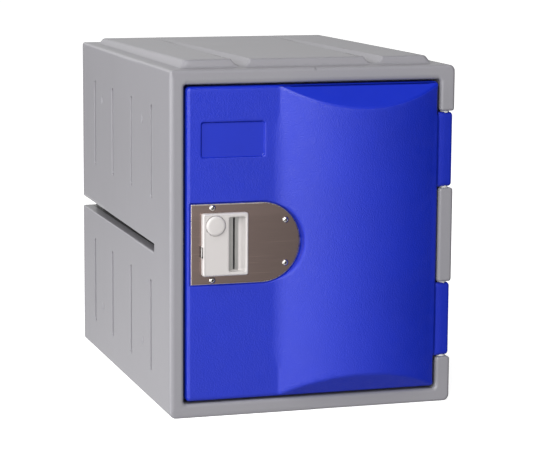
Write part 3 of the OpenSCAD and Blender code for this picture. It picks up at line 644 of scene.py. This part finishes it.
def channel_painted_shade(nt, col):
    """painted shade deep in the side channels, where their shadow falls"""
    tc = add(nt, "ShaderNodeTexCoord")
    sp = add(nt, "ShaderNodeSeparateXYZ")
    nt.links.new(tc.outputs["Object"], sp.inputs[0])
    ax = math2(nt, "ABSOLUTE", sp.outputs["X"], 0.0)
    inset = math2(nt, "SUBTRACT", OX / 1000, ax)
    deep = math2(nt, "ADD", math2(nt, "MULTIPLY", step_up(nt, inset, 0.0012, 0.003), 0.0), math2(nt, "MULTIPLY", step_up(nt, inset, 0.0125, 0.0138), 1.0))
    band = step_up(nt, math2(nt, "ABSOLUTE", math2(nt, "SUBTRACT", sp.outputs["Z"], CHZ / 1000), 0.0), 0.0085, 0.0078)
    wall = step_up(nt, ax, (OX - 22) / 1000, (OX - 21) / 1000)
    back = step_up(nt, sp.outputs["Y"], (FY + 80) / 1000, (FY + 84) / 1000)
    k = math2(nt, "MULTIPLY", math2(nt, "MULTIPLY", deep, band), math2(nt, "MULTIPLY", wall, back))
    # and a little painted shade in the flutes
    fl = math2(nt, "MULTIPLY", step_up(nt, inset, 0.00015, 0.0006), step_up(nt, inset, 0.0040, 0.0034))
    zz = math2(nt, "ABSOLUTE", math2(nt, "SUBTRACT", sp.outputs["Z"], (MID - 5) / 1000), 0.0)
    fl = math2(nt, "MULTIPLY", fl, math2(nt, "MULTIPLY", step_up(nt, zz, 0.050, 0.052), step_up(nt, zz, 0.182, 0.180)))
    yy = math2(nt, "ABSOLUTE", math2(nt, "SUBTRACT", sp.outputs["Y"], (FY + 269) / 1000), 0.0)
    fl = math2(nt, "MULTIPLY", fl, step_up(nt, yy, 0.182, 0.180))
    row = add(nt, "ShaderNodeMath", operation="PINGPONG")
    nt.links.new(math2(nt, "SUBTRACT", sp.outputs["Y"], (FY + 101) / 1000), row.inputs[0])
    row.inputs[1].default_value = 0.056
    fl = math2(nt, "MULTIPLY", fl, step_up(nt, row.outputs[0], 0.0095, 0.0085))
    k = math2(nt, "MAXIMUM", k, math2(nt, "MULTIPLY", fl, 0.22))
    mx = add(nt, "ShaderNodeMix", data_type="RGBA")
    nt.links.new(k, mx.inputs[0])
    nt.links.new(col, mx.inputs[6])
    # near-black colour of the painted shade
    mx.inputs[7].default_value = (0.012, 0.012, 0.014, 1)
    return mx.outputs[2]


GREY = (0.240, 0.235, 0.254)
BLUE = (0.004, 0.019, 0.400)
CREAM = (0.50, 0.475, 0.466)
mat_grey = plastic("grey_moulded", GREY, 0.265, 260, 0.00001, 0.015, dark=channel_painted_shade, detail=0.0, vary=0.08, lift=0.03)
mat_blue = plastic("blue_moulded", BLUE, 0.46, 600, 0.0010, 0.05, polish=door_polish)
mat_cream = plastic("light_plastic", CREAM, 0.36, 900, 0.00003, 0.015)
mat_dark = plastic("dark_plastic", (0.03, 0.031, 0.035), 0.45, 700, 0.00005, 0.08)
mat_mid = plastic("grey_plastic", (0.20, 0.20, 0.215), 0.45, 700, 0.00005, 0.05)
mat_white = plastic("white_nylon", (0.75, 0.75, 0.72), 0.4, 900, 0.00003, 0.03)


def metal(name, base, rough, stretch=(1, 1, 1), scale=60, depth=0.00001, var=0.06):
    m, nt, b = material(name, base, rough, 1.0)
    v = coords(nt, stretch)
    n1 = noise(nt, v, scale, 4, 0.6)
    nt.links.new(ramp(nt, n1, [(0.3, mixc(base, 1 - var)), (0.7, mixc(base, 1 + var))]), b.inputs["Base Color"])
    nt.links.new(remap(nt, n1, 0.25, 0.75, rough * 0.75, rough * 1.3), b.inputs["Roughness"])
    bump(nt, b, n1, 0.25, depth)
    return m




def streaked_plate_with_painted_reflection(name, base, rough):
    """polished steel with faint level streaks and a painted reflection: lighter on the left, a little darker towards
    its round end, and a lighter band along its top
    """
    m, nt, b = material(name, base, rough, 1.0)
    fine = noise(nt, coords(nt, (1, 1, 40)), 30, 4, 0.6)
    col = ramp(nt, fine, [(0.3, mixc(base, 0.95)), (0.7, mixc(base, 1.05))])
    tc = add(nt, "ShaderNodeTexCoord")
    sp = add(nt, "ShaderNodeSeparateXYZ")
    nt.links.new(tc.outputs["Object"], sp.inputs[0])
    # painted reflection: lighter on the left, darker towards the round end
    painted_reflection_fade = remap(nt, sp.outputs["X"], PX0 / 1000, (PCX + PRR) / 1000, 1.04, 0.76)
    line = step_up(nt, noise(nt, coords(nt, (0.5, 1, 36)), 16, 1, 0.4), 0.68, 0.72)
    # painted reflection: a lighter band along the plate's top
    high = step_up(nt, sp.outputs["Z"], (LZ + 32) / 1000, (LZ + 38) / 1000)
    k = math2(nt, "ADD", math2(nt, "ADD", math2(nt, "MULTIPLY", line, 0.22), math2(nt, "MULTIPLY", high, 0.08)), 1.0)
    sc = add(nt, "ShaderNodeVectorMath", operation="SCALE")
    nt.links.new(col, sc.inputs[0])
    nt.links.new(math2(nt, "MULTIPLY", painted_reflection_fade, k), sc.inputs["Scale"])
    nt.links.new(sc.outputs[0], b.inputs["Base Color"])
    nt.links.new(remap(nt, fine, 0.25, 0.75, rough * 0.8, rough * 1.25), b.inputs["Roughness"])
    bump(nt, b, fine, 0.25, 0.000012)
    return m


# the dark warm base colour also stands in for a dim brownish surround: painted reflection
mat_plate = streaked_plate_with_painted_reflection("polished_plate", (0.305, 0.228, 0.205), 0.2)
# brighter steel for the plate's rim, a painted highlight
mat_painted_highlight_edge = metal("painted_highlight_edge", (0.66, 0.60, 0.56), 0.3, (1, 1, 1), 200, 0.000008)
mat_screw = metal("bright_screw", (0.60, 0.575, 0.55), 0.10, (1, 1, 1), 300, 0.000006)
mat_steel = metal("ground_steel", (0.62, 0.62, 0.63), 0.26, (1, 1, 12), 120, 0.00001)
mat_gauge = metal("satin_steel", (0.50, 0.49, 0.475), 0.38, (1, 1, 10), 150, 0.00001)
mat_brass = metal("turned_brass", (0.66, 0.47, 0.19), 0.24, (1, 20, 1), 100, 0.00001)


def paint(ob, mat):
    ob.data.materials.clear()
    ob.data.materials.append(mat)


def recolour(ob, mat, test):
    """gives the faces whose middle passes the test another material"""
    me = ob.data
    n = len(me.polygons)
    c, idx = np.empty(n * 3, np.float32), np.empty(n, np.int32)
    me.polygons.foreach_get("center", c)
    me.polygons.foreach_get("material_index", idx)
    c = c.reshape(-1, 3) * 1000
    me.materials.append(mat)
    idx[test(c[:, 0], c[:, 1] - FY, c[:, 2])] = len(me.materials) - 1
    me.polygons.foreach_set("material_index", idx)


# ------------------------------------------------------------------ pieces
cab = moulded("cabinet", cabinet_sd, (-OX, 0, 0), (OX, D, H + PANEL), 1.8, 0.03, "cabinet", "cabinet_shell", flat=True)
paint(cab, mat_grey)
door = moulded("door_front", door_sd, (DX0, -BP, DZ0), (HX + KR, DT, DZ1), 1.3, 0.04, "door", "door_shell")
paint(door, mat_blue)
plate = moulded("lock_face_plate", plate_sd, (PX0, 0, LZ - PRR), (PCX + PRR, 2, LZ + PRR), 0.6, 0.06, "door", "lock_plate")
paint(plate, mat_plate)
# the plate's rim takes the brighter steel: a painted highlight along its edge
recolour(plate, mat_painted_highlight_edge, lambda x, d, z: (lock2(x, z) > -0.95) & (d < 1.2))
hous = moulded("lock_front_housing", housing_sd, (HS[0] - 1, -HP, HS[2]), (HS[1], 14, HS[3]), 0.6, 0.05, "door", "lock_housing")
paint(hous, mat_cream)
# the inside of the left side slit takes the dark plastic: painted shade
recolour(hous, mat_dark, lambda x, d, z: (np.abs(x - HS[0] - 3) < 2.6) & (np.abs(d + 4.4) < 3.3) & (np.abs(z - LZ + 9.75) < 7.6))
liner = moulded("door_inner_panel", liner_sd, (DX0 + SKIN, DT - 3, DZ0 + SKIN), (HX - SWING - SKIN, DT, DZ1 - SKIN), 1.2, 0.2, "door", "door_liner")
paint(liner, mat_blue)
case = moulded("mechanism_case", case_sd, (CS[0], CY0, CS[2]), (CS[1], CY1, CS[3]), 0.9, 0.2, "door", "lock_case")
paint(case, mat_dark)
cover = moulded("mechanism_cover", cover_sd, (CS[0], CY1, CS[2]), (CS[1], CY1 + 2.5, CS[3]), 0.6, 0.2, "door", "lock_case_cover")
paint(cover, mat_dark)
cup = moulded("coin_return_cup", cup_sd, (SX - 19, CY1 + 2.5, LZ - 41), (SX + 19, CY1 + 22.5, LZ - 15), 0.6, 0.1, "door", "coin_cup")
paint(cup, mat_cream)

# round knob, its rim rounded and its back hollow for the spindle
f0, f1 = -HP - 3.2, -HP + 0.6
prof = [(0, f0), (3, f0 + 0.01), (6, f0 + 0.06), (KNR - 4.4, f0 + 0.16)]
prof += [(KNR - 4.4 + 4.4 * math.sin(a), f0 + 0.16 + 2.9 - 2.9 * math.cos(a)) for a in [math.radians(c) for c in (10, 20, 30, 40, 50, 60, 70, 80)]]
prof += [(KNR, f1 - 0.3), (KNR - 0.3, f1), (4.01, f1), (4.01, -HP - 1.8), (0, -HP - 1.8)]
knob = lathe("round_knob", prof, KX, KZ, 96, "knob", "turn_knob")
paint(knob, mat_cream)

heads = domes("plate_fixing_screws", PLATE_SCREWS, 4.3, 2.9, 1.75, 1.7, 1.55, 11.0, "door", "plate_screws")
heads.data.materials.append(mat_screw)
# the sockets are painted dark: painted shade
heads.data.materials.append(mat_dark)

by_node = {
    "hinge_rod": mat_steel, "hinge_rod_plug": mat_mid, "strike_plate": mat_steel, "strike_screws": mat_screw,
    "liner_screws": mat_screw, "hinge_bushes": mat_white, "coin_gauge_plate": mat_gauge,
    "case_screws": mat_screw, "coin_chute": mat_mid, "lever_pin": mat_steel, "lever_spring": mat_steel,
    "cup_screws": mat_screw, "knob_spindle": mat_steel, "drive_pinion": mat_brass, "spindle_clip": mat_gauge,
    "deadbolt": mat_steel, "bolt_rack": mat_steel, "rack_rivets": mat_steel, "coin_lever": mat_brass,
}
for name, mat in by_node.items():
    paint(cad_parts[name], mat)

# ------------------------------------------------------------------ stage
def quad(name, pts, mat):
    me = bpy.data.meshes.new(name)
    me.from_pydata(pts, [], [tuple(range(len(pts)))])
    ob = bpy.data.objects.new(name, me)
    bpy.context.collection.objects.link(ob)
    me.materials.append(mat)
    return ob


mat_floor, nt, b = material("pale_floor", (0.93, 0.93, 0.93), 0.9)
v = coords(nt)
nt.links.new(ramp(nt, noise(nt, v, 2, 2), [(0.3, (0.925, 0.925, 0.925)), (0.7, (0.935, 0.935, 0.935))]), b.inputs["Base Color"])
b.inputs["Specular IOR Level"].default_value = 0.0
b.inputs["Emission Color"].default_value = (1, 1, 1, 1)
b.inputs["Emission Strength"].default_value = 0.7
floor = quad("floor", [(-60, -60, 0), (60, -60, 0), (60, 60, 0), (-60, 60, 0)], mat_floor)
floor.visible_diffuse = False
floor.visible_glossy = False
floor.visible_shadow = False

# soft surround: brightest on the left and behind, dim on the right
world = bpy.data.worlds.new("studio")
bpy.context.scene.world = world
world.use_nodes = True
nt = world.node_tree
tc = add(nt, "ShaderNodeTexCoord")
sp = add(nt, "ShaderNodeSeparateXYZ")
nt.links.new(tc.outputs["Generated"], sp.inputs[0])
side = math2(nt, "POWER", math2(nt, "MAXIMUM", math2(nt, "SUBTRACT", 1.0, sp.outputs["X"]), 0.0), 1.4)
front = math2(nt, "POWER", math2(nt, "MAXIMUM", math2(nt, "MULTIPLY", sp.outputs["Y"], -1.0), 0.0), 4.0)
rear = math2(nt, "POWER", math2(nt, "MAXIMUM", sp.outputs["Y"], 0.0), 2.0)
over = step_up(nt, sp.outputs["Z"], -0.15, 0.1)
under = math2(nt, "MULTIPLY", step_up(nt, sp.outputs["Z"], -0.08, -0.28), 1.3)
rear = math2(nt, "MULTIPLY", rear, math2(nt, "ADD", over, under))
side = math2(nt, "MULTIPLY", side, math2(nt, "SUBTRACT", 1.0, math2(nt, "MULTIPLY", sp.outputs["Y"], 0.4)))
rear = math2(nt, "MULTIPLY", rear, math2(nt, "SUBTRACT", 1.0, math2(nt, "MULTIPLY", sp.outputs["X"], 0.6)))
lvl = math2(nt, "ADD", math2(nt, "MULTIPLY", side, 0.28), math2(nt, "MULTIPLY", front, 0.55))
lvl = math2(nt, "ADD", lvl, math2(nt, "MULTIPLY", rear, 0.65))
low = remap(nt, sp.outputs["Z"], -0.25, 0.0, 0.72, 1.0)
lvl = math2(nt, "MULTIPLY", lvl, low)
nt.links.new(lvl, nt.nodes["Background"].inputs["Strength"])
nt.nodes["Background"].inputs["Color"].default_value = (1, 1, 1, 1)


def soft(name, pos, aim, w, h, power):
    li = bpy.data.lights.new(name, "AREA")
    li.shape = "RECTANGLE"
    li.size, li.size_y, li.energy = w, h, power
    ob = bpy.data.objects.new(name, li)
    ob.location = pos
    ob.rotation_euler = (Vector(aim) - Vector(pos)).to_track_quat("-Z", "Y").to_euler()
    bpy.context.collection.objects.link(ob)
    return ob


# a tall soft box in front on the left, two beside the left
# wall, one overhead, and a weak one low down for the light off the floor
soft("key", (-2.5, -4.15, 1.6), (0, 0, 0.25), 1.0, 3.6, 143)
soft("side", (-1.7, -0.40, -0.1), (-0.19, -0.1, 0.2), 0.9, 1.2, 12)
soft("side_high", (-2.5, -0.60, 1.3), (-0.19, -0.1, 0.2), 1.0, 1.0, 18)
soft("top", (-0.9, -2.0, 3.2), (0, 0, 0.3), 2.6, 2.6, 62)
soft("low", (-0.3, -1.6, -1.8), (0, 0, 0.2), 2.0, 2.0, 9)

bpy.context.scene.view_settings.view_transform = "Standard"

# ------------------------------------------------------------------ camera
AZ, EL, ROLL, DIST, TX, TZ, F = -17.0955, 9.2011, 0.3834, 3013.02, 1.66, 214.51, 2177.78
a, e_, r_ = math.radians(AZ), math.radians(EL), math.radians(ROLL)
back = Vector((math.sin(a) * math.cos(e_), -math.cos(a) * math.cos(e_), math.sin(e_)))
pos = Vector((TX, 200 + FY, TZ)) + back * DIST
right = (-back).cross(Vector((0, 0, 1))).normalized()
up = right.cross(-back)
X2 = math.cos(r_) * right + math.sin(r_) * up
Y2 = -math.sin(r_) * right + math.cos(r_) * up
cam_data = bpy.data.cameras.new("camera")
cam_data.sensor_width = 36
cam_data.sensor_fit = "HORIZONTAL"
cam_data.lens = F * 36 / 540
cam_data.clip_end = 50
cam = bpy.data.objects.new("camera", cam_data)
bpy.context.collection.objects.link(cam)
M = Matrix((X2, Y2, back)).transposed().to_4x4()
M.translation = pos / 1000
cam.matrix_world = M
bpy.context.scene.camera = cam
